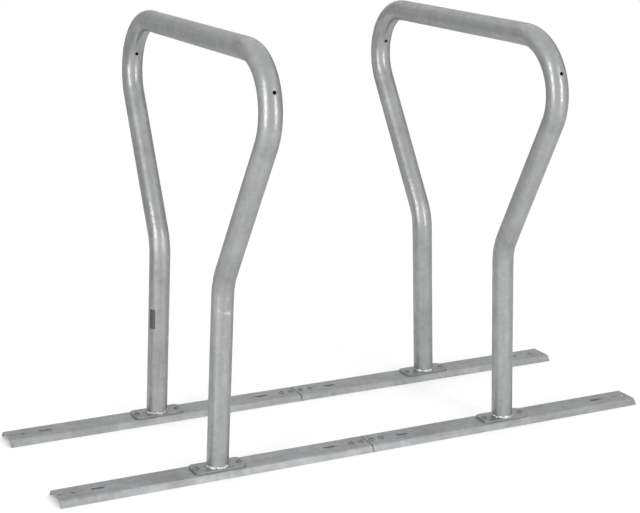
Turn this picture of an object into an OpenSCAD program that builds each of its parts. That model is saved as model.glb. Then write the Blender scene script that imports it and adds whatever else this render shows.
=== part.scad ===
// Floor rack for parking bicycles: two bent-tube hoops on two lengthwise rails.
// Each rail is made of two sections that butt in the middle over a joint plate.
// Millimetres and degrees. X runs along the rails, Y from front to back, Z up.
// The origin is on the ground in the middle of the rack.

/* [Hoops] */
// Outside diameter of the hoop tube
tube_d = 48.3; // [42:0.1:50]
// Wall of the hoop tube
tube_wall = 2.6; // [2:0.2:4]
// Height of a hoop above its foot plates
hoop_h = 930; // [880:1:960]
// Distance between the two legs of a hoop, centre to centre
leg_spacing = 368; // [340:1:400]
// Height above the foot plate of the corner where a leg starts to flare
flare_start_h = 406; // [360:1:440]
// Angle of a flared leg from upright
flare = 30.5; // [26:0.5:34]
// Centre-line radius of every bend of the tube
bend_r = 120; // [100:1:130]
// Lean of each hoop towards the middle of the rack, 0 for upright hoops
hoop_lean = 2.2; // [0:0.1:3]
// Diameter of the vent holes drilled through the upper bends
vent_d = 8; // [6:0.5:10]
// Place of a vent hole round its bend, above level
vent_angle = 21; // [10:1:40]

/* [Rails] */
// Length of one rail section
section_l = 725; // [650:1:800]
// Gap between two sections where they butt
joint_gap = 1; // [0.5:0.5:3]
// Width of a rail's top, measured between the corners of its bends
rail_top_w = 62; // [60:1:70]
// Distance that a side of the rail runs out on its way down
rail_side_run = 10; // [6:1:14]
// Height of a rail
rail_h = 14; // [14:0.5:18]
// Thickness of the rail's sheet steel
sheet_t = 2.5; // [2:0.5:3]
// Inside radius of the rail's bends
rail_bend_r = 4; // [2:0.5:5]
// Distance from a section's end to its first joint hole
joint_hole_inset = 13; // [11:0.5:16]
// Distance between the two joint holes at a section's end
joint_hole_pitch = 25; // [20:1:30]
// Diameter of every screw hole
screw_hole_d = 9; // [8.5:0.1:10]
// Distance from a section's end to the middle of its anchor slot
slot_inset = 92; // [80:1:110]
// Length of an anchor slot, end to end
slot_l = 30; // [24:1:36]
// Width of an anchor slot
slot_w = 10; // [9:0.5:12]

/* [Joint plates] */
// Width of the plate under each rail joint
joint_plate_w = 50; // [40:1:52]
// Thickness of a joint plate
joint_plate_t = 3; // [2:0.5:3]
// Steel of a joint plate beyond the middle of its last hole
joint_plate_edge = 12; // [10:1:16]

/* [Feet] */
// Length of a foot plate
plate_l = 120; // [118:1:140]
// Width of a foot plate
plate_w = 54; // [54:1:64]
// Thickness of a foot plate
plate_t = 4; // [3:0.5:6]
// Radius of a foot plate's corners
plate_corner_r = 12; // [4:1:20]
// Distance between the two screws of a foot plate
foot_screw_pitch = 100; // [92:1:102]
// Diameter of the drain hole in a foot plate, under the tube
drain_d = 14; // [8:1:20]
// Height of the weld up the tube
weld_leg = 5; // [3:0.5:6]
// Reach of the weld out over the foot plate
weld_reach = 2.8; // [2:0.1:2.8]

/* [Fasteners] */
// Diameter of the screws
screw_d = 8; // [6:0.5:8]
// Diameter of a screw's round head
head_d = 14; // [13:0.5:16]
// Height of a screw's head
head_h = 3; // [2.5:0.1:4.4]
// Height of the straight rim of a head
head_rim_h = 1; // [0.4:0.1:1.5]
// Diameter of the flat on top of a head
head_flat_d = 8.4; // [6.5:0.1:9.5]
// Width across the flats of the key socket
socket_af = 5; // [4:0.5:5]
// Depth of the key socket
socket_depth = 1.8; // [1.5:0.1:2.2]
// Width across the flats of a nut
nut_af = 13; // [12:0.5:14]
// Height of a nut
nut_h = 6.8; // [5:0.1:6.8]
// Diameter of a washer
washer_d = 16; // [14:0.5:18]
// Thickness of a washer
washer_t = 1.6; // [1:0.2:1.6]
// Length of thread that shows past a nut
thread_past = 1; // [0.5:0.1:1]
// Gap between a screw and what is threaded or slipped on it
thread_clear = 0.1; // [0.05:0.05:0.3]

/* [Label] */
// Width of the blank label, measured round the tube
label_w = 15; // [10:1:30]
// Height of the blank label
label_h = 46; // [20:1:60]
// Thickness of the blank label
label_t = 0.3; // [0.2:0.1:0.6]
// Height of the label's middle above the foot plate
label_z = 230; // [100:1:300]
// Turn of the label round the leg, from the front towards the rack's end
label_turn = 58; // [0:1:90]

/* [Hidden] */
$fn = 96;

// Sides of the rack, as signs of X and Y
left = -1;
right = 1;
front = -1;
back = 1;

// Length by which every cut runs past what it cuts
cut_over = 2;
// Draw-in of the tube's radius where it is bent
bend_draw = 0.05;
// Reach of a straight run of tube into the bend at its end
bend_lap = 0.5;
// Turn round the leg at which the weld starts
weld_start = 45;
// Height of the weld's blunt toe, and width of its blunt top
weld_toe_h = 0.6;
// Film of glue between the tube and the label
label_glue = 0.1;
// Steps along the arc of a sheet bend
sheet_bend_steps = 5;

// Tube of a hoop, in its own upright plane with the foot plates' tops at zero
tube_r = tube_d / 2;
bore_r = tube_r - tube_wall;
leg_y = leg_spacing / 2;
bar_z = hoop_h - tube_r;
corner_y = leg_y + (bar_z - flare_start_h) * tan(flare);
upper_turn = 90 + flare;
lower_run = bend_r * tan(flare / 2);
upper_run = bend_r * tan(upper_turn / 2);
leg_l = flare_start_h - lower_run;
flared_l = (bar_z - flare_start_h) / cos(flare) - lower_run - upper_run;
bar_l = 2 * (corner_y - upper_run);
upper_centre_y = corner_y - upper_run;
upper_centre_z = bar_z - bend_r;

// Places along a rail and levels above the ground
section_start = joint_gap / 2;
section_mid = section_start + section_l / 2;
foot_z = rail_h + plate_t;
sheet_under_z = rail_h - sheet_t;
joint_hole_places = [joint_hole_inset, joint_hole_inset + joint_hole_pitch];

// Outline of the bent sheet
sheet_bend_out_r = rail_bend_r + sheet_t;
side_slope = atan2(rail_h, rail_side_run);
sheet_bend_y = rail_top_w / 2 - sheet_bend_out_r * tan(side_slope / 2);
sheet_bend_z = rail_h - sheet_bend_out_r;
rail_foot_y = rail_top_w / 2 + rail_side_run;
rail_foot_t = sheet_t / sin(side_slope);

// Joint plate
joint_plate_l = joint_gap + 2 * (joint_hole_inset + joint_hole_pitch + joint_plate_edge);

// Screw head as a ball cut by its rim and its flat top
head_r = head_d / 2;
head_flat_r = head_flat_d / 2;
head_ball_z = (head_flat_r^2 + head_h^2 - head_r^2 - head_rim_h^2) / (2 * (head_h - head_rim_h));
head_ball_r = sqrt(head_r^2 + (head_rim_h - head_ball_z)^2);
loose_bore_d = screw_d + 2 * thread_clear;

// Label
label_angle = 360 * label_w / (PI * tube_d);

// Points on a sheet bend, from the sloping side up to the flat top
function sheet_arc(r) = [
    for (i = [0:sheet_bend_steps])
        let (a = 90 - side_slope + side_slope * i / sheet_bend_steps)
        [sheet_bend_y + r * cos(a), sheet_bend_z + r * sin(a)]
];
function reversed(points) = [for (i = [len(points) - 1:-1:0]) points[i]];
function mirrored(points) = [for (p = points) [-p[0], p[1]]];

// Half outlines of the sheet, from the ground up to the top
outer_half = concat([[rail_foot_y, 0]], sheet_arc(sheet_bend_out_r));
inner_half = concat([[rail_foot_y - rail_foot_t, 0]], sheet_arc(rail_bend_r));

// Upright hole through whatever lies between two levels
module drilled(x, y, from_z, to_z, d) {
    translate([x, y, from_z - cut_over])
        cylinder(h = to_z - from_z + 2 * cut_over, d = d);
}

// Slot along X through a rail's top
module anchor_slot(x) {
    end_x = (slot_l - slot_w) / 2;
    for (side = [left, right])
        drilled(x + side * end_x, 0, sheet_under_z, rail_h, slot_w);
    translate([x - end_x, -slot_w / 2, sheet_under_z - cut_over])
        cube([2 * end_x, slot_w, sheet_t + 2 * cut_over]);
}

// One section of rail, along +X from the joint, on the centre line
module rail_section() {
    difference() {
        translate([section_start, 0, 0])
            rotate([90, 0, 90])
                linear_extrude(section_l)
                    polygon(concat(outer_half, reversed(mirrored(outer_half)),
                                   mirrored(inner_half), reversed(inner_half)));
        for (place = concat(joint_hole_places, [for (p = joint_hole_places) section_l - p]))
            drilled(section_start + place, 0, sheet_under_z, rail_h, screw_hole_d);
        for (side = [left, right])
            drilled(section_mid + side * foot_screw_pitch / 2, 0, sheet_under_z, rail_h, screw_hole_d);
        for (place = [slot_inset, section_l - slot_inset])
            anchor_slot(section_start + place);
    }
}

module rail(end, row) {
    color("#a4a7a8")
        translate([0, row * leg_y, 0])
            mirror([end == left ? 1 : 0, 0, 0])
                rail_section();
}

// Flat plate under a rail joint
module joint_plate(row) {
    color("#8f9496")
        difference() {
            translate([-joint_plate_l / 2, row * leg_y - joint_plate_w / 2, sheet_under_z - joint_plate_t])
                cube([joint_plate_l, joint_plate_w, joint_plate_t]);
            for (end = [left, right], place = joint_hole_places)
                drilled(end * (section_start + place), row * leg_y,
                        sheet_under_z - joint_plate_t, sheet_under_z, screw_hole_d);
        }
}

// Round-headed screw whose head seats at a level and whose nut lies under a stack
module screw(x, y, seat_z, stack) {
    shank_l = stack + nut_h + thread_past;
    translate([x, y, seat_z]) {
        difference() {
            intersection() {
                cylinder(h = head_h, r = head_r);
                translate([0, 0, head_ball_z])
                    sphere(r = head_ball_r);
            }
            translate([0, 0, head_h - socket_depth])
                cylinder(h = socket_depth + cut_over, d = socket_af / cos(30), $fn = 6);
        }
        translate([0, 0, -shank_l])
            cylinder(h = shank_l, d = screw_d);
    }
}

// Hexagon nut that hangs below a level
module nut(x, y, top_z) {
    translate([x, y, top_z - nut_h])
        difference() {
            cylinder(h = nut_h, d = nut_af / cos(30), $fn = 6);
            drilled(0, 0, 0, nut_h, loose_bore_d);
        }
}

module washer(x, y, top_z) {
    translate([x, y, top_z - washer_t])
        difference() {
            cylinder(h = washer_t, d = washer_d);
            drilled(0, 0, 0, washer_t, loose_bore_d);
        }
}

module joint_screws(row) {
    color("#babdbd")
        for (end = [left, right], place = joint_hole_places)
            screw(end * (section_start + place), row * leg_y, rail_h, sheet_t + joint_plate_t);
}

module joint_nuts(row) {
    color("#9da1a2")
        for (end = [left, right], place = joint_hole_places)
            nut(end * (section_start + place), row * leg_y, sheet_under_z - joint_plate_t);
}

module foot_screws(end) {
    color("#babdbd")
        for (row = [front, back], side = [left, right])
            screw(end * section_mid + side * foot_screw_pitch / 2, row * leg_y, foot_z,
                  plate_t + sheet_t + washer_t);
}

module foot_washers(end) {
    color("#aaadad")
        for (row = [front, back], side = [left, right])
            washer(end * section_mid + side * foot_screw_pitch / 2, row * leg_y, sheet_under_z);
}

module foot_nuts(end) {
    color("#9da1a2")
        for (row = [front, back], side = [left, right])
            nut(end * section_mid + side * foot_screw_pitch / 2, row * leg_y, sheet_under_z - washer_t);
}

// Plate with round corners that carries one leg
module foot_plate(end, row) {
    color("#a9acac")
        translate([end * section_mid, row * leg_y, rail_h])
            linear_extrude(plate_t)
                difference() {
                    union() {
                        square([plate_l - 2 * plate_corner_r, plate_w], center = true);
                        square([plate_l, plate_w - 2 * plate_corner_r], center = true);
                        for (x = [left, right], y = [front, back])
                            translate([x * (plate_l / 2 - plate_corner_r), y * (plate_w / 2 - plate_corner_r)])
                                circle(plate_corner_r);
                    }
                    circle(d = drain_d);
                    for (side = [left, right])
                        translate([side * foot_screw_pitch / 2, 0])
                            circle(d = screw_hole_d);
                }
}

// Sector of a round bend in the hoop's plane, about a centre
module bend(y, z, from, turn, r) {
    translate([0, y, z])
        rotate([90, 0, 90])
            rotate([0, 0, from])
                rotate_extrude(angle = turn)
                    translate([bend_r, 0])
                        circle(r - bend_draw);
}

// Round bar of a given radius along the whole hoop, its legs running below zero
module hoop_run(r, below) {
    for (row = [0, 1])
        mirror([0, row, 0]) {
            translate([0, leg_y, -below])
                cylinder(h = leg_l + bend_lap + below, r = r);
            bend(leg_y + bend_r, leg_l, 180 - flare, flare, r);
            translate([0, leg_y + lower_run * sin(flare), flare_start_h + lower_run * cos(flare)])
                rotate([-flare, 0, 0])
                    translate([0, 0, -bend_lap])
                        cylinder(h = flared_l + 2 * bend_lap, r = r);
            bend(upper_centre_y, upper_centre_z, -flare, upper_turn, r);
        }
    translate([0, -bar_l / 2 - bend_lap, bar_z])
        rotate([-90, 0, 0])
            cylinder(h = bar_l + 2 * bend_lap, r = r);
}

// Hole straight through both walls of an upper bend
module vent(row) {
    mirror([0, row, 0])
        translate([0, upper_centre_y, upper_centre_z])
            rotate([vent_angle - 90, 0, 0])
                translate([0, 0, bend_r - tube_r - cut_over])
                    cylinder(h = tube_d + 2 * cut_over, d = vent_d);
}

// Everything below the top of the foot plates
module below_foot() {
    translate([-tube_d, -leg_spacing, -tube_d])
        cube([2 * tube_d, 2 * leg_spacing, tube_d]);
}

// Places what is drawn about a hoop's foot level, and leans it if asked
module at_hoop(end, lean = 0) {
    translate([end * section_mid, 0, foot_z])
        rotate([0, -end * lean, 0])
            children();
}

module hoop_tube(end) {
    color("#aeb1b1")
        difference() {
            at_hoop(end, hoop_lean)
                difference() {
                    hoop_run(tube_r, cut_over);
                    hoop_run(bore_r, 2 * cut_over);
                    for (row = [0, 1])
                        vent(row);
                }
            at_hoop(end)
                below_foot();
        }
}

// Fillet weld that lies on the plate and follows the leaning tube
module weld_bead(end, row) {
    color("#bfc2c2")
        difference() {
            at_hoop(end)
                translate([0, row * leg_y, 0])
                    rotate([0, 0, weld_start])
                        rotate_extrude()
                            polygon([[tube_r - cut_over, 0], [tube_r + weld_reach, 0], [tube_r + weld_reach, weld_toe_h],
                                     [tube_r + weld_toe_h, weld_leg], [tube_r - cut_over, weld_leg]]);
            at_hoop(end, hoop_lean)
                translate([0, row * leg_y, -tube_d])
                    cylinder(h = 2 * tube_d, r = tube_r);
        }
}

// Thin blank label wrapped on the left hoop's back leg
module blank_label() {
    color("#c9c7bf")
        at_hoop(left, hoop_lean)
            translate([0, back * leg_y, label_z - label_h / 2])
                rotate([0, 0, -90 - label_turn - label_angle / 2])
                    rotate_extrude(angle = label_angle)
                        translate([tube_r + label_glue, 0])
                            square([label_t, label_h]);
}

rail(left, front);  // rail_front_left
rail(right, front);  // rail_front_right
rail(left, back);  // rail_back_left
rail(right, back);  // rail_back_right
joint_plate(front);  // joint_plate_front
joint_plate(back);  // joint_plate_back
joint_screws(front);  // joint_screws_front
joint_screws(back);  // joint_screws_back
joint_nuts(front);  // joint_nuts_front
joint_nuts(back);  // joint_nuts_back
hoop_tube(left);  // hoop_tube_left
hoop_tube(right);  // hoop_tube_right
foot_plate(left, front);  // foot_plate_left_front
foot_plate(left, back);  // foot_plate_left_back
foot_plate(right, front);  // foot_plate_right_front
foot_plate(right, back);  // foot_plate_right_back
weld_bead(left, front);  // weld_bead_left_front
weld_bead(left, back);  // weld_bead_left_back
weld_bead(right, front);  // weld_bead_right_front
weld_bead(right, back);  // weld_bead_right_back
foot_screws(left);  // foot_screws_left
foot_screws(right);  // foot_screws_right
foot_washers(left);  // foot_washers_left
foot_washers(right);  // foot_washers_right
foot_nuts(left);  // foot_nuts_left
foot_nuts(right);  // foot_nuts_right
blank_label();
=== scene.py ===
# %% [markdown]
# # A galvanised bike rack, piece by piece
# This lesson dresses a steel bike rack: two bent-tube hoops on foot plates, screwed to two low rails.
# The measured solids come in first as a fixed frame. Each later cell then takes one real piece,
# such as a tube, a weld or a screw, and gives it the form and the zinc skin that the real one has.

# %% Load the frame
import math
import random

import bmesh
import bpy
import numpy as np
from mathutils import Matrix, Vector


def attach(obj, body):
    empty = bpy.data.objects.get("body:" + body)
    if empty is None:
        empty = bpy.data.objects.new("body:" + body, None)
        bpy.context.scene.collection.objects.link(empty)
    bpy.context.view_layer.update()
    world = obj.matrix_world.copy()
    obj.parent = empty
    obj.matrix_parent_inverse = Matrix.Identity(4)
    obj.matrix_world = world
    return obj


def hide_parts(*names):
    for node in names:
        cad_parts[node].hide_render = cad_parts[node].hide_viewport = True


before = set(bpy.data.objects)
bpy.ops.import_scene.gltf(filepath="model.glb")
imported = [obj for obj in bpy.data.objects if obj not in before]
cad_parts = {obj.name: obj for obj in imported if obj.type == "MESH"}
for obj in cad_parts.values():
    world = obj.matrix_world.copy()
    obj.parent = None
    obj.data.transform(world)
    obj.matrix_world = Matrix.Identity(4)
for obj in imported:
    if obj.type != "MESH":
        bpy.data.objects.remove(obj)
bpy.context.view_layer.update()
mm = 0.001

# %% [markdown]
# ## Sizes
# The sizes of the real rack, in millimetres. They are the ones that the frame was drawn with.
# The hoops lean a little towards each other, as they do when the screws of the rails pull them in.

# %% Sizes
TUBE_R, BORE_R = 24.15, 21.55
FOOT_Z = 18.0  # top of the foot plates
LEG_Y = 184.0
BAR_Z = 905.85  # middle of the top bar above the foot plates
FLARE = 30.5  # degrees
FLARE_START = 406.0
BEND_R = 120.0
LEAN = 2.2  # degrees
HOOP_X = 363.0
VENT_R, VENT_ANGLE = 4.0, 21.0
RAIL_Z, SHEET = 14.0, 2.5
SECTION_START, SECTION = 0.5, 725.0
HOLE_R = 4.5
PLATE_L, PLATE_W, PLATE_T, PLATE_CORNER = 120.0, 54.0, 4.0, 12.0
FOOT_SCREWS = 50.0  # from a leg's middle to each screw
JOINT_HOLES = (13.5, 38.5)  # from the middle of the rack
SLOTS = (92.5, 633.5)
ENDS = {"left": -1, "right": 1}
ROWS = {"front": -1, "back": 1}
print("overall height:", round(FOOT_Z + BAR_Z * math.cos(math.radians(LEAN)) + TUBE_R, 1), "mm")

# %% [markdown]
# ## Helpers for shapes
# Most pieces of the rack can be drawn as a stack of rings: a tube is rings along a bent line, a screw
# or a nut is rings along a straight one, and a weld is rings around the foot of a leg. Each ring has
# the same number of points, so faces between neighbouring rings make the skin.

# %% Skin over rings
def ring_skin(rings, ends="closed"):
    """Points and faces of a stack of rings, whose ends are joined to each other, capped or left open."""
    count, size = len(rings), len(rings[0])
    faces = []
    for i in range(count if ends == "closed" else count - 1):
        j = (i + 1) % count
        faces += [(i * size + k, i * size + (k + 1) % size, j * size + (k + 1) % size, j * size + k)
                  for k in range(size)]
    if ends == "capped":
        faces += [tuple(reversed(range(size))), tuple(range((count - 1) * size, count * size))]
    return [p for ring in rings for p in ring], faces


two_squares = [[(0, 0, z), (1, 0, z), (1, 1, z), (0, 1, z)] for z in (0, 1)]
cube_points, cube_faces = ring_skin(two_squares, "capped")
print("two rings make a cube of", len(cube_points), "points and", len(cube_faces), "faces")

# %% [markdown]
# Points and faces become an object in one helper, which takes millimetres, while Blender's own unit
# here is the metre. Bmesh then turns all faces outwards: a face that looks inwards spoils both the
# shading and the cuts that follow. Smooth shading blends the light over the faces of a round piece,
# but stops at edges that are meant to be sharp.

# %% Mesh objects
def mesh_piece(name, points, faces, material):
    """A mesh object whose points are given in mm. Its faces all look outwards."""
    mesh = bpy.data.meshes.new(name)
    mesh.from_pydata([[v * mm for v in p] for p in points], [], faces)
    work = bmesh.new()
    work.from_mesh(mesh)
    bmesh.ops.recalc_face_normals(work, faces=work.faces)
    work.to_mesh(mesh)
    work.free()
    mesh.materials.append(material)
    piece = bpy.data.objects.new(name, mesh)
    bpy.context.scene.collection.objects.link(piece)
    return piece


def smooth(piece, corner=50):
    """Smooth shading, apart from edges that turn by more than this many degrees."""
    piece.data.shade_smooth()
    piece.data.set_sharp_from_angle(angle=math.radians(corner))


# %% [markdown]
# Flat parts are prisms: an outline, pulled up to its thickness. Circles and rectangles with round
# corners are all the outlines that the rack's plates, drills and punches need.

# %% Outlines and prisms
def circle(x, y, r, sides=40):
    angles = [2 * math.pi * k / sides for k in range(sides)]
    return [(x + r * math.cos(a), y + r * math.sin(a)) for a in angles]


def rounded(length, width, r, x=0.0, y=0.0, steps=8):
    """Outline of a rectangle with round corners."""
    outline = []
    corner_x, corner_y = length / 2 - r, width / 2 - r
    for side_x, side_y, start in ((1, 1, 0), (-1, 1, 90), (-1, -1, 180), (1, -1, 270)):
        middle_x, middle_y = x + side_x * corner_x, y + side_y * corner_y
        for step in range(steps + 1):
            a = math.radians(start + 90 * step / steps)
            outline.append((middle_x + r * math.cos(a), middle_y + r * math.sin(a)))
    return outline


def prism(name, outline, low, high, material):
    """An upright prism over an outline of (x, y) points."""
    points, faces = ring_skin([[(x, y, z) for x, y in outline] for z in (low, high)], "capped")
    return mesh_piece(name, points, faces, material)


print("points round a foot plate:", len(rounded(PLATE_L, PLATE_W, PLATE_CORNER)))

# %% [markdown]
# Holes are made as in the workshop, with a drill or a punch that is a shape of its own. A boolean
# modifier takes it out of the piece, and is then made part of the mesh. The exact solver is the slower
# one, but it keeps thin walls whole. A bevel rounds the edges, as the dip in zinc does: an edge with
# no rounding catches no light and looks like a drawing. The weighted normals keep flat faces flat in
# the shading, next to their rounded edges.

# %% Cutting and rounding
def settle(piece):
    """Makes a piece's modifiers part of its mesh."""
    solid = bpy.data.meshes.new_from_object(piece.evaluated_get(bpy.context.evaluated_depsgraph_get()))
    piece.modifiers.clear()
    piece.data = solid


def cut(piece, cutters):
    """Cuts shapes out of a piece and throws the cutters away."""
    for cutter in cutters:
        knife = piece.modifiers.new("cut", "BOOLEAN")
        knife.operation, knife.solver, knife.object = "DIFFERENCE", "EXACT", cutter
    settle(piece)
    for cutter in cutters:
        bpy.data.objects.remove(cutter)


def soften(piece, width, steps=2):
    """Rounds the sharp edges a little, as the zinc does, and smooths everything but the corners."""
    rounding = piece.modifiers.new("rounding", "BEVEL")
    rounding.width, rounding.segments, rounding.limit_method = width * mm, steps, "ANGLE"
    rounding.angle_limit, rounding.harden_normals = math.radians(35), False
    settle(piece)
    smooth(piece)
    even = piece.modifiers.new("even", "WEIGHTED_NORMAL")
    even.keep_sharp = True
    settle(piece)


# %% [markdown]
# A hoop and all that sits on it lean together. They are drawn upright about their foot, where the
# numbers are simple, and leaned at the end. A finished piece then takes its place in the rack: it
# rides on the one body that the rack has, and stands for solids of the frame.

# %% Leaning, and joining the rack
def leaned(points, end):
    """Hoop points, upright about their foot, moved to their end of the rack and leaned to the middle."""
    a = -end * math.radians(LEAN)
    return [(end * HOOP_X + x * math.cos(a) + z * math.sin(a), y,
             FOOT_Z - x * math.sin(a) + z * math.cos(a)) for x, y, z in points]


def belongs(piece, slot, *nodes):
    """The piece is part of the rack and stands for these solids of the frame. slot is not used."""
    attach(piece, "root")
    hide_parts(*nodes)


bar_end = leaned([(0, 0, BAR_Z)], ENDS["left"])[0]
print("the lean moves the top bar inwards by", round(HOOP_X + bar_end[0], 1), "mm")

# %% [markdown]
# ## Materials
# Every material below is built from the same kinds of shader node, so one small function adds a node,
# sets its options and fills its sockets. A socket takes either a plain value or another node's output.
# Colours are picked as sRGB hex values, as a paint chart gives them, and turned to the linear light
# values that Blender calculates with.

# %% Helpers for materials
def linear(hex_colour):
    """An sRGB hex colour as linear red, green, blue and alpha."""
    parts = [int(hex_colour[i:i + 2], 16) / 255 for i in (1, 3, 5)]
    return [*(c / 12.92 if c <= 0.04045 else ((c + 0.055) / 1.055) ** 2.4 for c in parts), 1.0]


def add(tree, kind, sockets=None, **options):
    """Adds one shader node; sockets maps an input's name or number to a value or to an output."""
    made = tree.nodes.new("ShaderNode" + kind)
    for name, value in options.items():
        setattr(made, name, value)
    for name, value in (sockets or {}).items():
        if isinstance(value, bpy.types.NodeSocket):
            tree.links.new(value, made.inputs[name])
        else:
            made.inputs[name].default_value = value
    return made


def new_material(name):
    """An empty node material with its output node."""
    material = bpy.data.materials.new(name)
    material.use_nodes = True
    tree = material.node_tree
    tree.nodes.clear()
    return material, tree, add(tree, "OutputMaterial")


print("mid grey #808080 in linear light:", round(linear("#808080")[0], 3))

# %% [markdown]
# Hot-dip galvanising leaves a skin of zinc about 0.07 mm thick. It is a bare metal, so the shader is
# fully metallic. Three things give it away: zinc crystals (the spangle) a few millimetres across, each
# a little lighter or darker than its neighbour; pale and dull clouds some centimetres wide where the
# melt cooled unevenly; and fine streaks along the piece, left by the drawing of the steel and by the
# zinc as it ran off. Each pattern is sized in millimetres. Roughness changes with the same patterns,
# because dull zinc is rougher than bright zinc. On a bent tube the patterns must follow the bends, so
# there the position is worked out as if the tube were still straight: the piece stores how far round
# and how far along each point lies, and a cosine and a sine turn that back into a place on a cylinder.

# %% Patterns in the zinc
SPANGLE = 6.0  # width of a zinc crystal, in mm
CLOUD = 60.0  # width of a cloud in the zinc
PATCH = 16.0  # width of a dull or bright patch, where the light breaks up
SWELL = 10.0  # width of the low swells in the skin
STREAK = 4.0  # width of a streak
STREAK_LENGTH = 130.0  # and its length
GRAIN = 1.6  # fine pits and grains; the real ones are finer and would not show
GLINT_SPOT = 9.0  # width of a spot where the painted glint is stronger or weaker
MIDDLE = 0.96  # of the summed patterns, which gives a brightness halfway between dull and bright
PAINTED_GLINT_COLOUR = "#F0F1F1"  # colour of a painted glint, nearly white, on a weld's lump or along the tube's crease
ROUGHNESS_SWING = 0.06  # how far the patches move the roughness up and down
PRESSED = -0.12  # what the bender's tools took off the roughness
BUMP_HEIGHT = 1.2  # mm that a full bump would stand out


def pattern_place(tree, straight_tube, seed):
    """Where a point lies, for the patterns: on the piece, or on the tube before it was bent."""
    if straight_tube:
        turn = add(tree, "SeparateXYZ", {0: add(tree, "UVMap", uv_map="round_and_along").outputs[0]})
        angle = add(tree, "Math", {0: turn.outputs[0], 1: TUBE_R * mm}, operation="DIVIDE").outputs[0]
        sides = []
        for way in ("COSINE", "SINE"):
            side = add(tree, "Math", {0: angle}, operation=way).outputs[0]
            sides.append(add(tree, "Math", {0: side, 1: TUBE_R * mm}, operation="MULTIPLY").outputs[0])
        place = add(tree, "CombineXYZ", {0: sides[0], 1: sides[1], 2: turn.outputs[1]}).outputs[0]
    else:
        place = add(tree, "TexCoord").outputs["Object"]
    shift = (seed, seed * 0.7, seed * 1.3)
    return add(tree, "VectorMath", {0: place, 1: shift}, operation="ADD").outputs[0]


def noise(tree, where, width, detail=3.0, roughness=0.55):
    """Cloudy noise whose blots are about this many mm wide."""
    return add(tree, "TexNoise", {"Vector": where, "Scale": 1 / (width * mm), "Detail": detail,
                                  "Roughness": roughness}).outputs[0]


def weighed(tree, *shares):
    """Sum of patterns, each times its share."""
    total = 0.0
    for pattern, share in shares:
        total = add(tree, "Math", {0: pattern, 1: share, 2: total}, operation="MULTIPLY_ADD").outputs[0]
    return total


print("patterns from", GRAIN, "to", STREAK_LENGTH, "mm")

# %% [markdown]
# All the finishes of the rack are bare metal with the same kinds of marks, only stronger or weaker, so
# one function makes them. The patterns are added up, each with its share. The sum picks the colour
# between a dull and a bright one, the patches alone set the roughness, and swells, streaks and grain
# go into a bump. Places that the mesh marks for a painted glint turn nearly white, and where it marks
# the tube as pressed smooth, the roughness drops.

# %% Metal skin
def metal_skin(name, hex_dull, hex_bright, rough, long_axis="z", straight_tube=False, bump=0.25, seed=0.0,
               cloud_width=CLOUD, spread=0.24):
    """A bare metal skin. The streaks run along long_axis, and a small spread makes a strong contrast."""
    material, tree, output = new_material(name)
    where = pattern_place(tree, straight_tube, seed)
    spangle = add(tree, "TexVoronoi", {"Vector": where, "Scale": 1 / (SPANGLE * mm), "Randomness": 1.0})
    crystal = add(tree, "SeparateColor", {0: spangle.outputs["Color"]}).outputs[0]
    across, along = 1 / (STREAK * mm), 1 / (STREAK_LENGTH * mm)
    stretch = [across, across, across]
    stretch["xyz".index(long_axis)] = along
    streak_at = add(tree, "VectorMath", {0: where, 1: stretch}, operation="MULTIPLY").outputs[0]
    streak = noise(tree, streak_at, 1 / mm)
    cloud = noise(tree, where, cloud_width, 5.0, 0.6)
    patch = noise(tree, where, PATCH, 4.0)
    grain = noise(tree, where, GRAIN, 2.0)
    brightness = weighed(tree, (cloud, 0.8), (patch, 0.45), (streak, 0.5), (crystal, 0.08), (grain, 0.12))
    level = add(tree, "MapRange", {"Value": brightness, "From Min": MIDDLE - spread,
                                   "From Max": MIDDLE + spread}).outputs[0]
    colour = add(tree, "Mix", {0: level, 6: linear(hex_dull), 7: linear(hex_bright)},
                 data_type="RGBA").outputs[2]
    # Painted glints: the mesh marks where they go, and these spots make them stronger or weaker.
    glint_spots = add(tree, "MapRange", {"Value": noise(tree, where, GLINT_SPOT, 1.0), "From Min": 0.4, "From Max": 0.6,
                                  "To Min": 0.15}).outputs[0]
    painted_glint = add(tree, "Math", {0: add(tree, "Attribute", attribute_name="painted_glint").outputs["Fac"], 1: glint_spots},
                 operation="MULTIPLY").outputs[0]
    colour = add(tree, "Mix", {0: painted_glint, 6: colour, 7: linear(PAINTED_GLINT_COLOUR)}, data_type="RGBA").outputs[2]
    dullness = add(tree, "MapRange", {"Value": patch, "From Min": 0.35, "From Max": 0.65,
                                      "To Min": rough + ROUGHNESS_SWING,
                                      "To Max": rough - ROUGHNESS_SWING}).outputs[0]
    relief = weighed(tree, (noise(tree, where, SWELL, 2.0), 1.5), (streak, 0.15), (grain, 0.02))
    if straight_tube:
        burnished = add(tree, "Attribute", attribute_name="burnished").outputs["Fac"]
        edge = weighed(tree, (burnished, 1.0), (patch, 0.7), (streak, 0.7))
        burnished = add(tree, "MapRange", {"Value": edge, "From Min": 1.15, "From Max": 1.35}).outputs[0]
        dullness = add(tree, "Math", {0: burnished, 1: PRESSED, 2: dullness},
                       operation="MULTIPLY_ADD").outputs[0]
    bumped = add(tree, "Bump", {"Strength": bump, "Distance": BUMP_HEIGHT * mm, "Height": relief}).outputs[0]
    shader = add(tree, "BsdfPrincipled", {"Base Color": colour, "Metallic": 1.0, "Roughness": dullness,
                                          "Normal": bumped})
    tree.links.new(shader.outputs[0], output.inputs["Surface"])
    return material


print("halfway brightness:", MIDDLE, "brightest zinc:", PAINTED_GLINT_COLOUR)

# %% [markdown]
# Each finish starts from what the real part is and how it was made. The colours are the grey of zinc,
# a little darker or lighter for each. Weathered zinc has a roughness of 0.4 to 0.5, and plated or
# rubbed zinc nearer 0.3.

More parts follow.
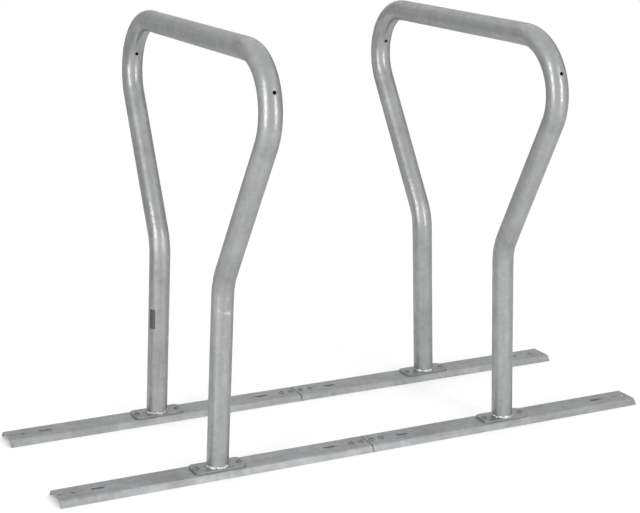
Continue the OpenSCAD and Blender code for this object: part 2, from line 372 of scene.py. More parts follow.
# %% Finishes of the rack
# Steel tube, dipped in zinc: pale clouds, and soft streaks along it from the drawing of the tube.
tube_zinc = metal_skin("galvanised_tube", "#9A9B9B", "#B2B3B3", 0.45, "z", straight_tube=True)
# Rolled sheet steel, dipped in zinc: flatter than the tube, so it mirrors a little more clearly.
sheet_zinc = metal_skin("galvanised_sheet", "#989A9B", "#B2B4B5", 0.42, "x", seed=3.0)
# Flat bar, dipped in zinc: thick steel stays hot for longer, which leaves its zinc a little darker.
plate_zinc = metal_skin("galvanised_plate", "#949595", "#AAABAB", 0.42, "x", seed=5.0)
# Weld metal, dipped in zinc: a lumpy surface, and small bright patches between dull ones, partly
# the zinc's own tone and partly painted glints.
weld_zinc_and_glints = metal_skin("galvanised_weld_and_painted_glints", "#8C8D8D", "#E4E5E5", 0.34, "z", bump=0.8, seed=7.0,
                       cloud_width=9.0, spread=0.12)
# Turned steel, electroplated with zinc: thinner and smoother than dipped zinc, with hardly a pattern.
# Its grey is darker than the dipped zinc: dirt, and painted shade for the dark rims round the heads.
screw_zinc_and_shade = metal_skin("zinc_plated_steel_and_painted_shade", "#858787", "#999B9B", 0.34, "z", bump=0.08, seed=9.0)
# Polyester film with a metal face: even and matt, and weathered to a warm grey.
label_film = metal_skin("label_film", "#66645E", "#7C7A73", 0.5, "z", bump=0.03, seed=11.0)
print("materials:", len(bpy.data.materials))

# %% [markdown]
# ## Hoop tubes
# Each hoop is one length of 48.3 mm steel tube. A tube bender turned it four times: slightly outwards
# where the legs flare, and sharply inwards into the top bar. The line of the tube is laid out here as
# a run of stations, first up the front leg and to the middle of the bar, then mirrored down the back.

# %% Line of a hoop
LOWER_RUN = BEND_R * math.tan(math.radians(FLARE / 2))
UPPER_RUN = BEND_R * math.tan(math.radians(45 + FLARE / 2))
CORNER_Y = LEG_Y + (BAR_Z - FLARE_START) * math.tan(math.radians(FLARE))
BEND_CENTRE = (CORNER_Y - UPPER_RUN, BAR_Z - BEND_R)
LEG = FLARE_START - LOWER_RUN
LOWER_BEND = LEG + BEND_R * math.radians(FLARE)
FLARED = LOWER_BEND + (BAR_Z - FLARE_START) / math.cos(math.radians(FLARE)) - LOWER_RUN - UPPER_RUN
UPPER_BEND = FLARED + BEND_R * math.radians(90 + FLARE)
HALF = UPPER_BEND + BEND_CENTRE[0]


def hoop_place(run):
    """(y, z, turn from upright in degrees) at a length of tube above the front foot."""
    if run > HALF:
        y, z, turn = hoop_place(2 * HALF - run)
        return -y, z, -180 - turn
    if run < LEG:
        return -LEG_Y, run, 0.0
    if run < LOWER_BEND:
        a = (run - LEG) / BEND_R
        return -LEG_Y - BEND_R * (1 - math.cos(a)), LEG + BEND_R * math.sin(a), math.degrees(a)
    if run < FLARED:
        y, z, _ = hoop_place(LOWER_BEND - 0.001)
        a = math.radians(FLARE)
        return y - (run - LOWER_BEND) * math.sin(a), z + (run - LOWER_BEND) * math.cos(a), FLARE
    if run < UPPER_BEND:
        a = math.radians(FLARE) - (run - FLARED) / BEND_R
        y, z = -BEND_CENTRE[0] - BEND_R * math.cos(a), BEND_CENTRE[1] - BEND_R * math.sin(a)
        return y, z, math.degrees(a)
    return -HALF + run, BAR_Z, -90.0


def spaced(start, stop, step):
    """Lengths from start to just before stop, about a step apart."""
    return list(np.linspace(start, stop, round((stop - start) / step), endpoint=False))


# Rings lie far apart in straight runs, close in bends, and closest where one leg has its crease.
half_runs = (spaced(0, 336, 12) + spaced(336, 360, 1) + spaced(360, LEG, 3) + spaced(LEG, LOWER_BEND, 3)
             + spaced(LOWER_BEND, FLARED, 8) + spaced(FLARED, UPPER_BEND, 3) + spaced(UPPER_BEND, HALF, 12))
runs = half_runs + [HALF] + [2 * HALF - run for run in reversed(half_runs)]
print("length of tube in a hoop:", round(2 * HALF), "mm in", len(runs), "rings")

# %% [markdown]
# Where the tools of the bender held the tube they pressed its skin smooth, and the zinc is brighter
# there. Those places end sharply, at a different height on each leg. Below one of them the tube was
# pinched: a faint crease runs down to a knot and fans out on its other side, and a glint is painted
# along it.

# %% Marks on the tube
SIDES = 64
BURNISHED = {("left", "front"): [(340, 392), (812, 1045)], ("left", "back"): [(418, 505), (778, 1045)],
             ("right", "front"): [(834, 1045)], ("right", "back"): [(381, 500), (776, 1045)]}
CREASE_HEIGHT, CREASE_TURN = 347.5, -0.39  # its knot: height above the foot, and place round in radians
CREASE_DEPTH, CREASE_GAP = 0.25, 3.2  # of its ridge, and from there up to its groove
# how strongly a glint is painted along the crease
CREASE_PAINTED_GLINT = 0.5


def from_foot(run):
    """Length of tube between a place and the nearer foot."""
    return min(run, 2 * HALF - run)


def crease(height, turn):
    """How much of the crease shows at this height and place round the tube, from 0 to 1."""
    off = math.remainder(turn - CREASE_TURN, 2 * math.pi)
    if off < 0:
        line, width, strength = -15.5 * off, 1.6, 0.7 * math.exp(-((off + 0.2) / 0.2) ** 4)
    else:
        line, width, strength = -3.0 * off, 1.0 + 5.0 * off, math.exp(-((off - 0.45) / 0.35) ** 4)
    return strength * math.exp(-((height - CREASE_HEIGHT - line) / width) ** 2)


print("points in a hoop's outer skin:", len(runs) * SIDES)

# %% [markdown]
# A real bend is not a perfect torus. The wall on the inside of the bend is pressed together and bulges
# a little where the bend starts and ends, and the tube goes slightly oval, flatter in the plane of the
# bend. Each ring also has a faint ridge, the seam along which the strip was welded into a tube. All of
# this is under a millimetre, but the glints along the tube follow it, so it is in the mesh.

# %% Rings of a hoop
BEND_ENDS = {LEG: 1, LOWER_BEND: 1, FLARED: -1, UPPER_BEND: -1}  # 1 where a bend's inside faces outwards
OVAL, OVAL_START = 0.45, 25.0  # how much flatter a bend is, and the length over which that comes in
BULGE, BULGE_LENGTH = 0.7, 9.0
SEAM, SEAM_COLUMN = 0.12, 13  # height of the seam's ridge, and its place round the ring


def hoop_rings(radius, bore, name):
    """Rings of a hoop's outer skin or bore, upright, with the foot plates' tops at zero."""
    rings = []
    for run in runs:
        height = from_foot(run)
        y, z, turn = hoop_place(run)
        nearest = min(BEND_ENDS, key=lambda end: abs(height - end))
        distance = abs(height - nearest)
        bent = LEG < height < LOWER_BEND or FLARED < height < UPPER_BEND
        oval = OVAL * min(1.0, distance / OVAL_START) if bent else 0.0
        bulge = BULGE * math.exp(-(distance / BULGE_LENGTH) ** 2)
        a = math.radians(turn)
        ring = []
        for k in range(SIDES):
            b = 2 * math.pi * k / SIDES
            r = radius - oval * math.cos(b) ** 2 + bulge * max(0.0, math.cos(b) * BEND_ENDS[nearest]) ** 2
            if not bore:
                r += SEAM if k == SEAM_COLUMN else 0.0
                if name == "left" and run < HALF:
                    r += CREASE_DEPTH * (crease(height, b) - 0.8 * crease(height - CREASE_GAP, b))
            outwards, across = r * math.sin(b), r * math.cos(b)
            ring.append((outwards, y - across * math.cos(a), z - across * math.sin(a)))
        rings.append(ring)
    return rings


def level_foot(ring, end):
    """A ring cut level with the foot plate, although its leg leans."""
    return [(x, y, -x * math.tan(end * math.radians(LEAN))) for x, y, z in ring]


print("most that a bend's start stands out:", BULGE, "mm")

# %% [markdown]
# The material can't see which part of the tube was pressed smooth, where a glint is painted, or where
# a point lay before the tube was bent. The mesh tells it: two attributes mark the smooth places and
# the places with a painted glint, and a UV map holds the distance round and along the straight tube.

# %% What the material reads
def mark_skin(tube, name, lengths):
    """Stores where the tube was pressed smooth and where a glint is painted along its crease."""
    burnished, painted_glint = [], []
    for run in lengths:
        zones = BURNISHED[name, "front" if run < HALF else "back"]
        burnished += [float(any(low < from_foot(run) < high for low, high in zones))] * SIDES
        crease_glint = CREASE_PAINTED_GLINT if name == "left" and run < HALF else 0.0
        painted_glint += [crease_glint * crease(run, 2 * math.pi * k / SIDES) for k in range(SIDES)]
    tube.data.attributes.new("burnished", "FLOAT", "POINT").data.foreach_set("value", burnished)
    tube.data.attributes.new("painted_glint", "FLOAT", "POINT").data.foreach_set("value", painted_glint)


def unroll(tube, lengths):
    """Stores how far round and along the straight tube each corner of a face lies."""
    layer = tube.data.uv_layers.new(name="round_and_along")
    for face in tube.data.polygons:
        columns = [tube.data.loops[k].vertex_index % SIDES for k in face.loop_indices]
        wraps = max(columns) - min(columns) > SIDES / 2
        for k, column in zip(face.loop_indices, columns):
            place = column + SIDES if wraps and column < SIDES / 2 else column
            station = tube.data.loops[k].vertex_index // SIDES
            layer.data[k].uv = (place / SIDES * 2 * math.pi * TUBE_R * mm, lengths[station] * mm)


print("way round the tube:", round(2 * math.pi * TUBE_R, 1), "mm")

# %% [markdown]
# Skin and bore together make one closed shape: out along the skin and back along the bore. The vents,
# through which air and zinc ran when the hoop was dipped, are drilled last, through both walls of each
# upper bend.

# %% Hoop tubes
def vent_drills(end):
    """A drill through each upper bend of a hoop."""
    a = math.radians(VENT_ANGLE)
    hole = circle(0, 0, VENT_R)
    drills = []
    for row in (-1, 1):
        rings = []
        for depth in (BEND_R - TUBE_R - 5, BEND_R + TUBE_R + 5):
            y, z = row * (BEND_CENTRE[0] + depth * math.cos(a)), BEND_CENTRE[1] + depth * math.sin(a)
            rings.append([(u, y - v * row * math.sin(a), z + v * math.cos(a)) for u, v in hole])
        points, faces = ring_skin(rings, "capped")
        drills.append(mesh_piece("drill", leaned(points, end), faces, tube_zinc))
    return drills


def hoop_tube(name, end):
    skin, bore = hoop_rings(TUBE_R, False, name), hoop_rings(BORE_R, True, name)
    for rings in (skin, bore):
        rings[0], rings[-1] = level_foot(rings[0], end), level_foot(rings[-1], end)
    points, faces = ring_skin(skin + bore[::-1])
    tube = mesh_piece("tube_" + name, leaned(points, end), faces, tube_zinc)
    lengths = runs + runs[::-1]
    mark_skin(tube, name, lengths)
    unroll(tube, lengths)
    cut(tube, vent_drills(end))
    smooth(tube)
    belongs(tube, "galvanised_tube", "hoop_tube_" + name)
    return tube


for name, end in ENDS.items():
    tube = hoop_tube(name, end)
    print(tube.name, "faces:", len(tube.data.polygons))

# %% [markdown]
# ## Foot plates
# Each leg stands on a plate cut from 4 mm steel, with round corners, two screw holes and a drain hole
# under the tube, through which the zinc ran out. A prism over the plate's outline gives its shape, and
# the holes are cut through it as a drill would. The press rolls the edges over and the zinc rounds
# them further, so a bevel follows. It is narrow, but the line of light along it shows in the picture.

# %% Foot plates
DRAIN_R = 7.0

for end_name, end in ENDS.items():
    for row_name, row in ROWS.items():
        x, y = end * HOOP_X, row * LEG_Y
        outline = rounded(PLATE_L, PLATE_W, PLATE_CORNER, x, y)
        plate = prism(f"plate_{end_name}_{row_name}", outline, RAIL_Z, FOOT_Z, plate_zinc)
        holes = ((-FOOT_SCREWS, HOLE_R), (0, DRAIN_R), (FOOT_SCREWS, HOLE_R))
        cut(plate, [prism("drill", circle(x + place, y, r), RAIL_Z - 2, FOOT_Z + 2, plate_zinc)
                    for place, r in holes])
        soften(plate, 1.3, 4)
        belongs(plate, "galvanised_plate", f"foot_plate_{end_name}_{row_name}")
print("foot plate faces:", len(plate.data.polygons))

# %% [markdown]
# ## Joint plates
# A flat plate under each pair of section ends takes the four joint screws. It is a sawn length of
# 50 by 3 mm flat bar, so its corners are square. It is made in the same way as a foot plate.

# %% Joint plates
JOINT_L, JOINT_W, JOINT_T = 101.0, 50.0, 3.0
CORNERS = ((-1, -1), (1, -1), (1, 1), (-1, 1))

for row_name, row in ROWS.items():
    y = row * LEG_Y
    low, high = RAIL_Z - SHEET - JOINT_T, RAIL_Z - SHEET
    outline = [(side_x * JOINT_L / 2, y + side_y * JOINT_W / 2) for side_x, side_y in CORNERS]
    bar = prism("bar_" + row_name, outline, low, high, plate_zinc)
    cut(bar, [prism("drill", circle(side * place, y, HOLE_R), low - 2, high + 2, plate_zinc)
              for side in (-1, 1) for place in JOINT_HOLES])
    soften(bar, 0.4)
    belongs(bar, "galvanised_plate", "joint_plate_" + row_name)
print("joint plate faces:", len(bar.data.polygons))

# %% [markdown]
# ## Rails
# A rail section is sheet steel 2.5 mm thick, folded along both sides so that they splay outwards and
# rest on the ground. The outline of the folded sheet is drawn once and run along the section, because
# that keeps its thickness true round the folds. The round holes and the anchor slots are then cut
# through the top, and the zinc's rounding of all edges comes last.

# %% Rails
TOP_HALF, FOOT_HALF = 31.0, 41.0  # from a rail's middle line to where its sides turn down and end
FOLD_R = 6.5  # outside of a fold
SLOT_L, SLOT_W = 30.0, 10.0
SAWN_OFF = 0.5  # what the saw and file took off each section's end at the joint
STATIONS = 12


def sheet_outline():
    """Outline of the folded sheet, in (y, z), from one foot over the top to the other and back inside."""
    slope = math.atan2(RAIL_Z, FOOT_HALF - TOP_HALF)
    fold_y, fold_z = TOP_HALF - FOLD_R * math.tan(slope / 2), RAIL_Z - FOLD_R
    turns = [slope * (1 - k / 7) for k in range(8)]
    sides = []
    for r, foot in ((FOLD_R, FOOT_HALF), (FOLD_R - SHEET, FOOT_HALF - SHEET / math.sin(slope))):
        half = [(foot, 0.0)] + [(fold_y + r * math.sin(a), fold_z + r * math.cos(a)) for a in turns]
        sides.append(half + [(-y, z) for y, z in reversed(half)])
    return sides[0] + sides[1][::-1]


def rail_section(name, end, y):
    """A section on one end of the rack, whose top has its middle line at y."""
    outline = sheet_outline()
    places = [SECTION_START + SECTION * i / STATIONS for i in range(STATIONS + 1)]
    places[0] += SAWN_OFF
    rings = [[(end * x, y + v, z) for v, z in outline] for x in places]
    points, faces = ring_skin(rings, "open")
    size = len(outline)
    for start in (0, STATIONS * size):
        last = start + size - 1
        faces += [(start + k, start + k + 1, last - k - 1, last - k) for k in range(size // 2 - 1)]
    return mesh_piece(name, points, faces, sheet_zinc)


both_ends = 2 * SECTION_START + SECTION  # a section has the same joint holes at its other end
round_holes = [*JOINT_HOLES, *(both_ends - p for p in JOINT_HOLES), HOOP_X - FOOT_SCREWS, HOOP_X + FOOT_SCREWS]
for end_name, end in ENDS.items():
    for row_name, row in ROWS.items():
        y = row * LEG_Y
        rail = rail_section(f"section_{row_name}_{end_name}", end, y)
        low, high = RAIL_Z - 5, RAIL_Z + 3
        tools = [prism("drill", circle(end * p, y, HOLE_R), low, high, sheet_zinc) for p in round_holes]
        tools += [prism("punch", rounded(SLOT_L, SLOT_W, SLOT_W / 2, end * p, y), low, high, sheet_zinc)
                  for p in SLOTS]
        cut(rail, tools)
        soften(rail, 0.7)
        belongs(rail, "galvanised_sheet", f"rail_{row_name}_{end_name}")
print("rail section faces:", len(rail.data.polygons))

# %% [markdown]
# ## Welds
# The welder ran a bead round the foot of each leg. Molten metal freezes in ripples about 2 mm apart,
# each bowed away from where the bead started, and the hand leaves it wider here and narrower there.
# Where the welder stopped and started again there is a lump, with a glint painted on it nearly white.
# The bead is a stack of rings round the leg, whose size is worked out anew for each small step round,
# because an even ring with a bump texture would still show a smooth outline.

# %% Welds
WELD_HEIGHT, WELD_REACH, RIPPLE = 5.0, 2.75, 2.2
WELD_SUNK = 0.5  # how far its back lies inside the tube's skin
WELD_ROWS = 9
LUMPS_AND_GLINTS = {("left", "front"): (-64, -100), ("left", "back"): (-107, -137),
         ("right", "front"): (-99, -132, -169), ("right", "back"): (-64, -101, -145)}  # degrees round a leg of each lump, which also gets a painted glint


def lump(turn, places):
    """How much of a lump stands at this place round a leg, 0 to 1."""
    offs = [math.remainder(turn - math.radians(place), 2 * math.pi) for place in places]
    return max(math.exp(-(off / 0.17) ** 2) for off in offs)


def bead_column(b, stands, ripples, waves):
    """Points up the bead's face and down its back, at the angle b round a leg."""
    sway = sum(size * math.sin(k * b + shift) for k, shift, size in waves) / 3.2
    height = WELD_HEIGHT * (0.82 + 0.18 * sway + 0.35 * stands)
    reach = WELD_REACH * (0.80 + 0.20 * sway)
    column = []
    for i in range(WELD_ROWS):
        t = i / (WELD_ROWS - 1)
        ripple = 0.5 + 0.5 * math.cos(ripples * b + 10.4 * (t - 0.5) ** 2)
        bulge = (0.55 + 0.6 * stands) * math.sin(math.pi * t)
        bulge += 0.26 * ripple * math.sin(math.pi * min(1, t + 0.08))
        column.append((TUBE_R + reach * (1 - t) + bulge * 0.87 - 0.15 * t, height * t + bulge * 0.5))
    column += [(TUBE_R - WELD_SUNK, height * 0.9), (TUBE_R - WELD_SUNK, -0.1)]
    return [(r * math.cos(b), r * math.sin(b), z) for r, z in column]


def weld(end_name, row_name, rng):
    end, row = ENDS[end_name], ROWS[row_name]
    ripples = round(2 * math.pi * (TUBE_R + WELD_REACH / 2) / RIPPLE)
    turns = [2 * math.pi * c / (6 * ripples) for c in range(6 * ripples)]
    waves = [(k, rng.uniform(0, 2 * math.pi), rng.uniform(0.4, 1.0)) for k in (2, 5, 9, 13)]
    lumps_and_glints = [lump(b, LUMPS_AND_GLINTS[end_name, row_name]) for b in turns]
    columns = [bead_column(b, stands, ripples, waves) for b, stands in zip(turns, lumps_and_glints)]
    points, faces = ring_skin([list(ring) for ring in zip(*columns)])
    lean = -end * math.tan(math.radians(LEAN))
    points = [(end * HOOP_X + x + z * lean, row * LEG_Y + y, FOOT_Z + z) for x, y, z in points]
    bead = mesh_piece(f"bead_{end_name}_{row_name}", points, faces, weld_zinc_and_glints)
    rows = len(points) // len(turns)
    # Each lump gets a painted glint, nearly white.
    bead.data.attributes.new("painted_glint", "FLOAT", "POINT").data.foreach_set("value", lumps_and_glints * rows)
    bead.data.shade_smooth()
    belongs(bead, "zinc_bright_weld", f"weld_bead_{end_name}_{row_name}")
    return ripples


rng = random.Random(7)
for end_name in ENDS:
    for row_name in ROWS:
        ripples = weld(end_name, row_name, rng)
print("ripples in a bead:", ripples)

# %% [markdown]
# ## Screws, nuts and washers
# All of these are turned parts, so each is a stack of rings. A hexagon is a ring too: the distance
# from its middle to its edge changes round the turn.

# %% Turned parts
def hexagon(across_flats, b):
    """Distance from the middle of a hexagon to its edge, in the direction b."""
    return across_flats / 2 / math.cos((b + math.pi / 6) % (math.pi / 3) - math.pi / 6)


def turned(x, y, z, levels, turn, sides=48):
    """Rings at (radius, height) levels. A radius may be a function of the angle."""
    rings = []
    for r, h in levels:
        ring = []
        for b in (2 * math.pi * k / sides for k in range(sides)):
            radius = r(b) if callable(r) else r
            ring.append((x + radius * math.cos(b + turn), y + radius * math.sin(b + turn), z + h))
        rings.append(ring)
    return rings


print("a hexagon 13 mm across flats is", round(2 * hexagon(13.0, math.pi / 6), 2), "mm across corners")

# %% [markdown]
# The screws have low round heads with a hexagon socket, and an M8 thread of 1.25 mm pitch that shows
# past the nut. A thread is a ring whose wave runs once round for each pitch of height, so that the
# rings together draw a screw line. The head's top is part of a ball, found from its flat and its rim.

# %% Screws
SCREW_R, PITCH, THREAD_DEPTH = 3.97, 1.25, 0.36
HEAD_R, HEAD_EDGE, HEAD_H = 7.0, 1.0, 3.0
HEAD_FLAT = 4.2  # radius where the ball would meet the flat round the socket
SOCKET_FLATS = 5.0
NUT_H = 6.8


def thread(b, h):
    """Radius of the thread at this angle and height."""
    return SCREW_R - THREAD_DEPTH * abs(2 * ((h / PITCH - b / (2 * math.pi)) % 1) - 1)


def screw_rings(x, y, seat, stack, turn):
    """A screw whose head rests at the height seat, on a stack of this thickness with a nut below it."""
    tip = -(stack + NUT_H + 1.0)
    levels = [(0.01, tip), (3.1, tip)]
    for k in range(28):
        h = tip + 0.25 + k * PITCH / 6
        levels.append((lambda b, h=h: thread(b, h), h))
    levels += [(SCREW_R, levels[-1][1] + 0.3), (SCREW_R, 0.0)]
    levels += [(HEAD_R - 0.15, 0.0), (HEAD_R, 0.15), (HEAD_R, HEAD_EDGE)]
    ball_z = (HEAD_FLAT ** 2 + HEAD_H ** 2 - HEAD_R ** 2 - HEAD_EDGE ** 2) / (2 * (HEAD_H - HEAD_EDGE))
    ball_r = math.hypot(HEAD_R, HEAD_EDGE - ball_z)
    levels += [(math.sqrt(ball_r ** 2 - (h - ball_z) ** 2), h) for h in (1.25, 1.6, 1.95, 2.3, 2.6, 2.85)]
    levels += [(4.05, HEAD_H), (3.1, HEAD_H)]
    levels += [(lambda b: hexagon(SOCKET_FLATS, b), 2.85), (lambda b: hexagon(SOCKET_FLATS - 0.05, b), 1.2)]
    levels += [(1.2, 0.9), (0.01, 0.7)]
    return turned(x, y, seat, levels, turn)


print("rings in a screw:", len(screw_rings(0, 0, 0, PLATE_T + SHEET, 0)))

# %% [markdown]
# The corners of a real nut are turned off at 30 degrees, which is the smaller of a hexagon and a cone.
# A washer is punched from sheet, so its upper rim is a little rounded.

# %% Nuts and washers
NUT_FLATS = 13.0
WASHER_R, WASHER_T = 8.0, 1.6
CLEAR_R = 4.1  # bore of nuts and washers


def nut_rings(x, y, top, turn):
    levels = []
    for h in (0, 0.2, 0.4, 0.6, 0.8, NUT_H - 0.8, NUT_H - 0.6, NUT_H - 0.4, NUT_H - 0.2, NUT_H):
        cone = 6.25 + min(h, NUT_H - h) / math.tan(math.radians(30))
        levels.append((lambda b, cone=cone: min(hexagon(NUT_FLATS, b), cone), h - NUT_H))
    levels += [(4.9, 0.0), (CLEAR_R, -0.5), (CLEAR_R, 0.5 - NUT_H), (4.9, -NUT_H)]
    return turned(x, y, top, levels, turn)


def washer_rings(x, y, top, turn):
    levels = [(WASHER_R, -0.2), (WASHER_R - 0.2, 0.0), (CLEAR_R + 0.2, 0.0), (CLEAR_R, -0.15)]
    levels += [(r, -WASHER_T - h) for r, h in reversed(levels)]
    return turned(x, y, top, levels, turn)


print("rings in a nut and a washer:", len(nut_rings(0, 0, 0, 0)), len(washer_rings(0, 0, 0, 0)))

# %% [markdown]
# Nobody lines up screws by hand, so each screw, washer and nut is turned by chance. The chance is
# seeded, so every run of this lesson turns them alike. A group of like parts is one object.

# %% All fixings
def turned_parts(name, places, maker, ends, slot, *nodes):
    """Several turned parts as one piece, each turned by chance."""
    points, faces = [], []
    for place in places:
        new_points, new_faces = ring_skin(maker(*place, rng.uniform(0, 2 * math.pi)), ends)
        faces += [tuple(k + len(points) for k in face) for face in new_faces]
        points += new_points
    piece = mesh_piece(name, points, faces, screw_zinc_and_shade)
    smooth(piece, 32)
    belongs(piece, slot, *nodes)


def fixings(kind, where, spots, seat, stack, washer=0.0):
    """Screws at (x, y) spots, each through a stack of plates to a nut, with a washer where it has one."""
    below = seat - stack
    screws = [(*spot, seat, stack + washer) for spot in spots]
    turned_parts("screws_" + where, screws, screw_rings, "capped", "zinc_plated_screws",
                 f"{kind}_screws_{where}")
    if washer:
        turned_parts("washers_" + where, [(*spot, below) for spot in spots], washer_rings, "closed",
                     "zinc_plated_nuts", f"{kind}_washers_{where}")
    turned_parts("nuts_" + where, [(*spot, below - washer) for spot in spots], nut_rings, "closed",
                 "zinc_plated_nuts", f"{kind}_nuts_{where}")


for end_name, end in ENDS.items():
    spots = [(end * HOOP_X + side * FOOT_SCREWS, row * LEG_Y) for row in (-1, 1) for side in (-1, 1)]
    fixings("foot", end_name, spots, FOOT_Z, PLATE_T + SHEET, WASHER_T)
for row_name, row in ROWS.items():
    spots = [(side * place, row * LEG_Y) for side in (-1, 1) for place in JOINT_HOLES]
    fixings("joint", row_name, spots, RAIL_Z, SHEET + JOINT_T)
print("screws:", len(spots) * (len(ENDS) + len(ROWS)))

# %% [markdown]
# ## Blank label
# A small film label is stuck on the left hoop's back leg. It is a thin patch bent round the tube, with
# round corners, and carries no lettering here. A flat patch would cut into the round tube, so rings
# from its middle out to its edge, each point laid on the tube's round, let it curve.

# %% Blank label
LABEL_W, LABEL_L, LABEL_CORNER = 15.0, 46.0, 1.5
LABEL_Z, LABEL_TURN = 230.0, -148.0  # height of its middle above the foot, and place round in degrees
GLUE, LABEL_TOP = 0.1, 0.4  # distances of its back and its face from the tube

label_outline = rounded(LABEL_W, LABEL_L, LABEL_CORNER)
straight = LABEL_W / 2 - LABEL_CORNER
short_edge = [(straight - 2 * straight * k / 8, LABEL_L / 2) for k in range(1, 8)]
label_outline[9:9] = short_edge
label_outline[34:34] = [(-u, -v) for u, v in short_edge]
inner = (0.02, 0.35, 0.7)  # sizes of the inner rings, as shares of the outline
levels = [(share, GLUE) for share in (*inner, 1.0)] + [(1.0, LABEL_TOP - 0.06), (0.985, LABEL_TOP)]
levels += [(share, LABEL_TOP) for share in reversed(inner)]
rings = []
for share, height in levels:
    ring = []
    for u, v in label_outline:
        a = math.radians(LABEL_TURN) + u * share / TUBE_R
        r = TUBE_R + height
        ring.append((r * math.cos(a), LEG_Y + r * math.sin(a), LABEL_Z + v * share))
    rings.append(ring)
points, faces = ring_skin(rings, "capped")
label = mesh_piece("label_blank", leaned(points, ENDS["left"]), faces, label_film)
smooth(label)
belongs(label, "blank_label", "blank_label")
print("label points:", len(points))

# %% [markdown]
# ## Room
# A bare metal shows what stands round it, so the room matters more than the lamps. The room and the
# floor are white. Behind the rack the metal faces a grey curtain and a grey floor cloth that fade to
# white towards the front, as in a hall whose far side is not lit: they draw the soft dark edges that
# make a tube look round. The paper that they are made of takes its grey from a colour ramp.

# %% Paper for the room
AWAY = Vector((math.cos(math.radians(63.3)), math.sin(math.radians(63.3)), 0))  # level way from the camera
RAMP_REACH = 5.0  # metres that a fading grey covers on each side of the middle


def paper(name, grey):
    material, tree, output = new_material(name)
    lit = add(tree, "BsdfDiffuse", {"Color": (grey, grey, grey, 1)})
    tree.links.new(lit.outputs[0], output.inputs["Surface"])
    return material


def fading_grey(name, *stops, glow=0.0):
    """Paper with a grey for each distance, in metres from the middle of the room and away from the camera.

    glow is the share of its light that the paper gives off by itself, a painted light, and not from in front
    of it."""
    material, tree, output = new_material(name)
    here = add(tree, "TexCoord").outputs["Object"]
    away = add(tree, "VectorMath", {0: here, 1: AWAY}, operation="DOT_PRODUCT").outputs["Value"]
    place = add(tree, "MapRange", {"Value": away, "From Min": -RAMP_REACH, "From Max": RAMP_REACH})
    ramp = add(tree, "ValToRGB", {"Fac": place.outputs[0]})
    ramp.color_ramp.elements.remove(ramp.color_ramp.elements[0])
    for distance, grey in stops:
        stop = ramp.color_ramp.elements.new((distance + RAMP_REACH) / (2 * RAMP_REACH))
        stop.color = (grey, grey, grey, 1)
    ramp.color_ramp.elements.remove(ramp.color_ramp.elements[-1])
    lit = add(tree, "BsdfDiffuse", {"Color": ramp.outputs[0]})
    shining = add(tree, "Emission", {"Color": ramp.outputs[0]})
    mixed = add(tree, "MixShader", {0: glow, 1: lit.outputs[0], 2: shining.outputs[0]})
    tree.links.new(mixed.outputs[0], output.inputs["Surface"])
    return material


floor_paper, board_grey = paper("floor_paper", 1.0), paper("board_grey", 0.6)
cloth_grey = fading_grey("cloth_grey", (-0.6, 1.0), (-0.2, 0.96), (0.15, 0.87), (0.4, 0.77), (1.3, 0.82),
                         (1.5, 0.77), (1.8, 0.44), glow=0.3)
curtain_grey = fading_grey("curtain_grey", (-3.4, 1.0), (-1.2, 0.84), (1.2, 0.75), (2.3, 0.62), (2.9, 0.44),
                           (3.6, 0.46), (4.5, 0.66))
print("papers:", floor_paper.name, board_grey.name, cloth_grey.name, curtain_grey.name)

# %% [markdown]
# The cloth glows a little by itself, a painted light, because otherwise the rack's own shadow on it
# would turn the holes black. A grey board stands at the left, as a studio's black flag does, and
# darkens the left side of the left legs. Only the metal sees curtain, cloth and board: the floor's own
# shadow under the rack and the white background stay as they are.

# %% Floor and room
CLOTH = 4.5  # half of the cloth's width, and the curtain's distance
CLOTH_LIFT = 0.0005
CURTAIN_HEIGHT, CURTAIN_STEPS = 3.3, 56
BOARD_X = -0.8
BOARD = ((-0.3, 0), (0.95, 0), (0.95, 1.0), (0.12, 1.0), (0.12, 0.2), (-0.3, 0.2))  # outline in y and z


def staged(name, points, faces, material, only_metal=True):
    """A piece of the room, in metres."""
    piece = mesh_piece(name, [[v / mm for v in p] for p in points], faces, material)
    if only_metal:
        piece.visible_camera = piece.visible_diffuse = False
        piece.visible_shadow = piece.visible_transmission = False


def square(half, height):
    return [(side_x * half, side_y * half, height) for side_x, side_y in CORNERS]


staged("floor", square(30.0, 0.0), [(0, 1, 2, 3)], floor_paper, only_metal=False)
staged("floor_cloth", square(CLOTH, CLOTH_LIFT), [(0, 1, 2, 3)], cloth_grey)
turns = [math.radians(-77 + 280 * k / CURTAIN_STEPS) for k in range(CURTAIN_STEPS + 1)]
curtain = [(CLOTH * math.cos(a), CLOTH * math.sin(a), z) for z in (0, CURTAIN_HEIGHT) for a in turns]
panels = [(k, k + 1, k + 2 + CURTAIN_STEPS, k + 1 + CURTAIN_STEPS) for k in range(CURTAIN_STEPS)]
staged("curtain", curtain, panels, curtain_grey)
staged("board_left", [(BOARD_X, y, z) for y, z in BOARD], [tuple(range(len(BOARD)))], board_grey)

world = bpy.data.worlds.new("studio")
bpy.context.scene.world = world
world.use_nodes = True
tree = world.node_tree
tree.nodes.clear()
white = add(tree, "Background", {"Color": (1, 1, 1, 1), "Strength": 1.0})
tree.links.new(white.outputs[0], add(tree, "OutputWorld").inputs["Surface"])
print("panels in the curtain:", len(panels))

# %% [markdown]
# ## Lights
# Two tall strip lights stand in front, left and right. They are weak, because the white room already
# lights the rack evenly, and their work is the long glints where the bends' skin was pressed smooth.

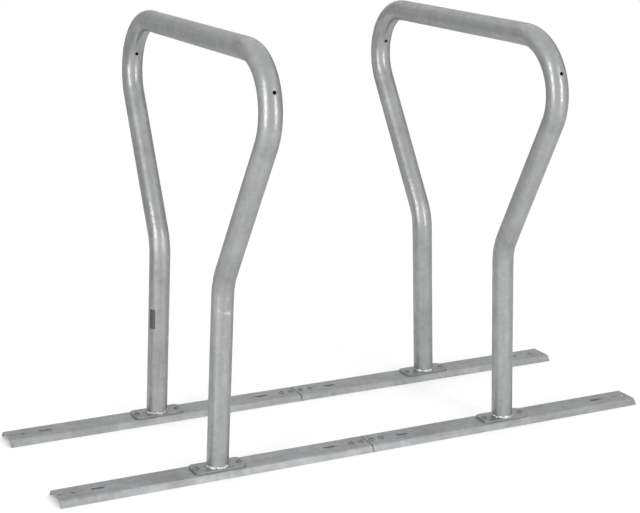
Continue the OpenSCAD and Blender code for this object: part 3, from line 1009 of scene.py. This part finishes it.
# %% Strip lights
def strip_light(name, at, width, height, watts):
    """A tall flat light that faces the middle of the rack."""
    light = bpy.data.lights.new(name, "AREA")
    light.shape, light.size, light.size_y, light.energy = "RECTANGLE", width, height, watts
    lamp = bpy.data.objects.new(name, light)
    bpy.context.scene.collection.objects.link(lamp)
    lamp.location = at
    lamp.rotation_euler = Vector((-at[0], -at[1], 0)).to_track_quat("-Z", "Y").to_euler()


strip_light("strip_left", (-3.24, -1.58, 1.6), 0.9, 3.0, 30)
strip_light("strip_right", (0.8, -2.4, 1.2), 0.45, 2.2, 10)
print("lights:", len(bpy.data.lights))

# %% [markdown]
# ## Camera
# The camera stands at the front left, 3.6 m from the rack and somewhat above it. Its place, angles and
# lens were fitted together, so that the corners of the rails and the feet of the legs fall where they
# do in the photograph. A long lens from further away would draw the rails less steep.

# %% Camera
PICTURE_WIDTH = 640
FOCAL_PIXELS = 1558.188
AIM_HEIGHT, DISTANCE, TO_THE_LEFT, DOWN = 0.414, 3.575589, 0.025505, 0.01452

azimuth, elevation, roll = (math.radians(a) for a in (26.657, 14.737, 0.562))
back = Vector((-math.sin(azimuth) * math.cos(elevation), -math.cos(azimuth) * math.cos(elevation),
               math.sin(elevation)))
level = Vector((math.cos(azimuth), -math.sin(azimuth), 0))
upright = back.cross(level)
across = math.cos(roll) * level + math.sin(roll) * upright
up = -math.sin(roll) * level + math.cos(roll) * upright
eye = Vector((0, 0, AIM_HEIGHT)) + back * DISTANCE - across * TO_THE_LEFT - up * DOWN
lens = bpy.data.cameras.new("camera")
camera = bpy.data.objects.new("camera", lens)
bpy.context.scene.collection.objects.link(camera)
lens.sensor_width = 36.0
lens.lens = lens.sensor_width * FOCAL_PIXELS / PICTURE_WIDTH
camera.matrix_world = Matrix.Translation(eye) @ Matrix((across, up, back)).transposed().to_4x4()
lens.clip_end = 100
bpy.context.scene.camera = camera
bpy.context.scene.view_settings.view_transform = "Standard"
print("camera at", [round(v, 3) for v in eye], "lens", round(lens.lens, 2))
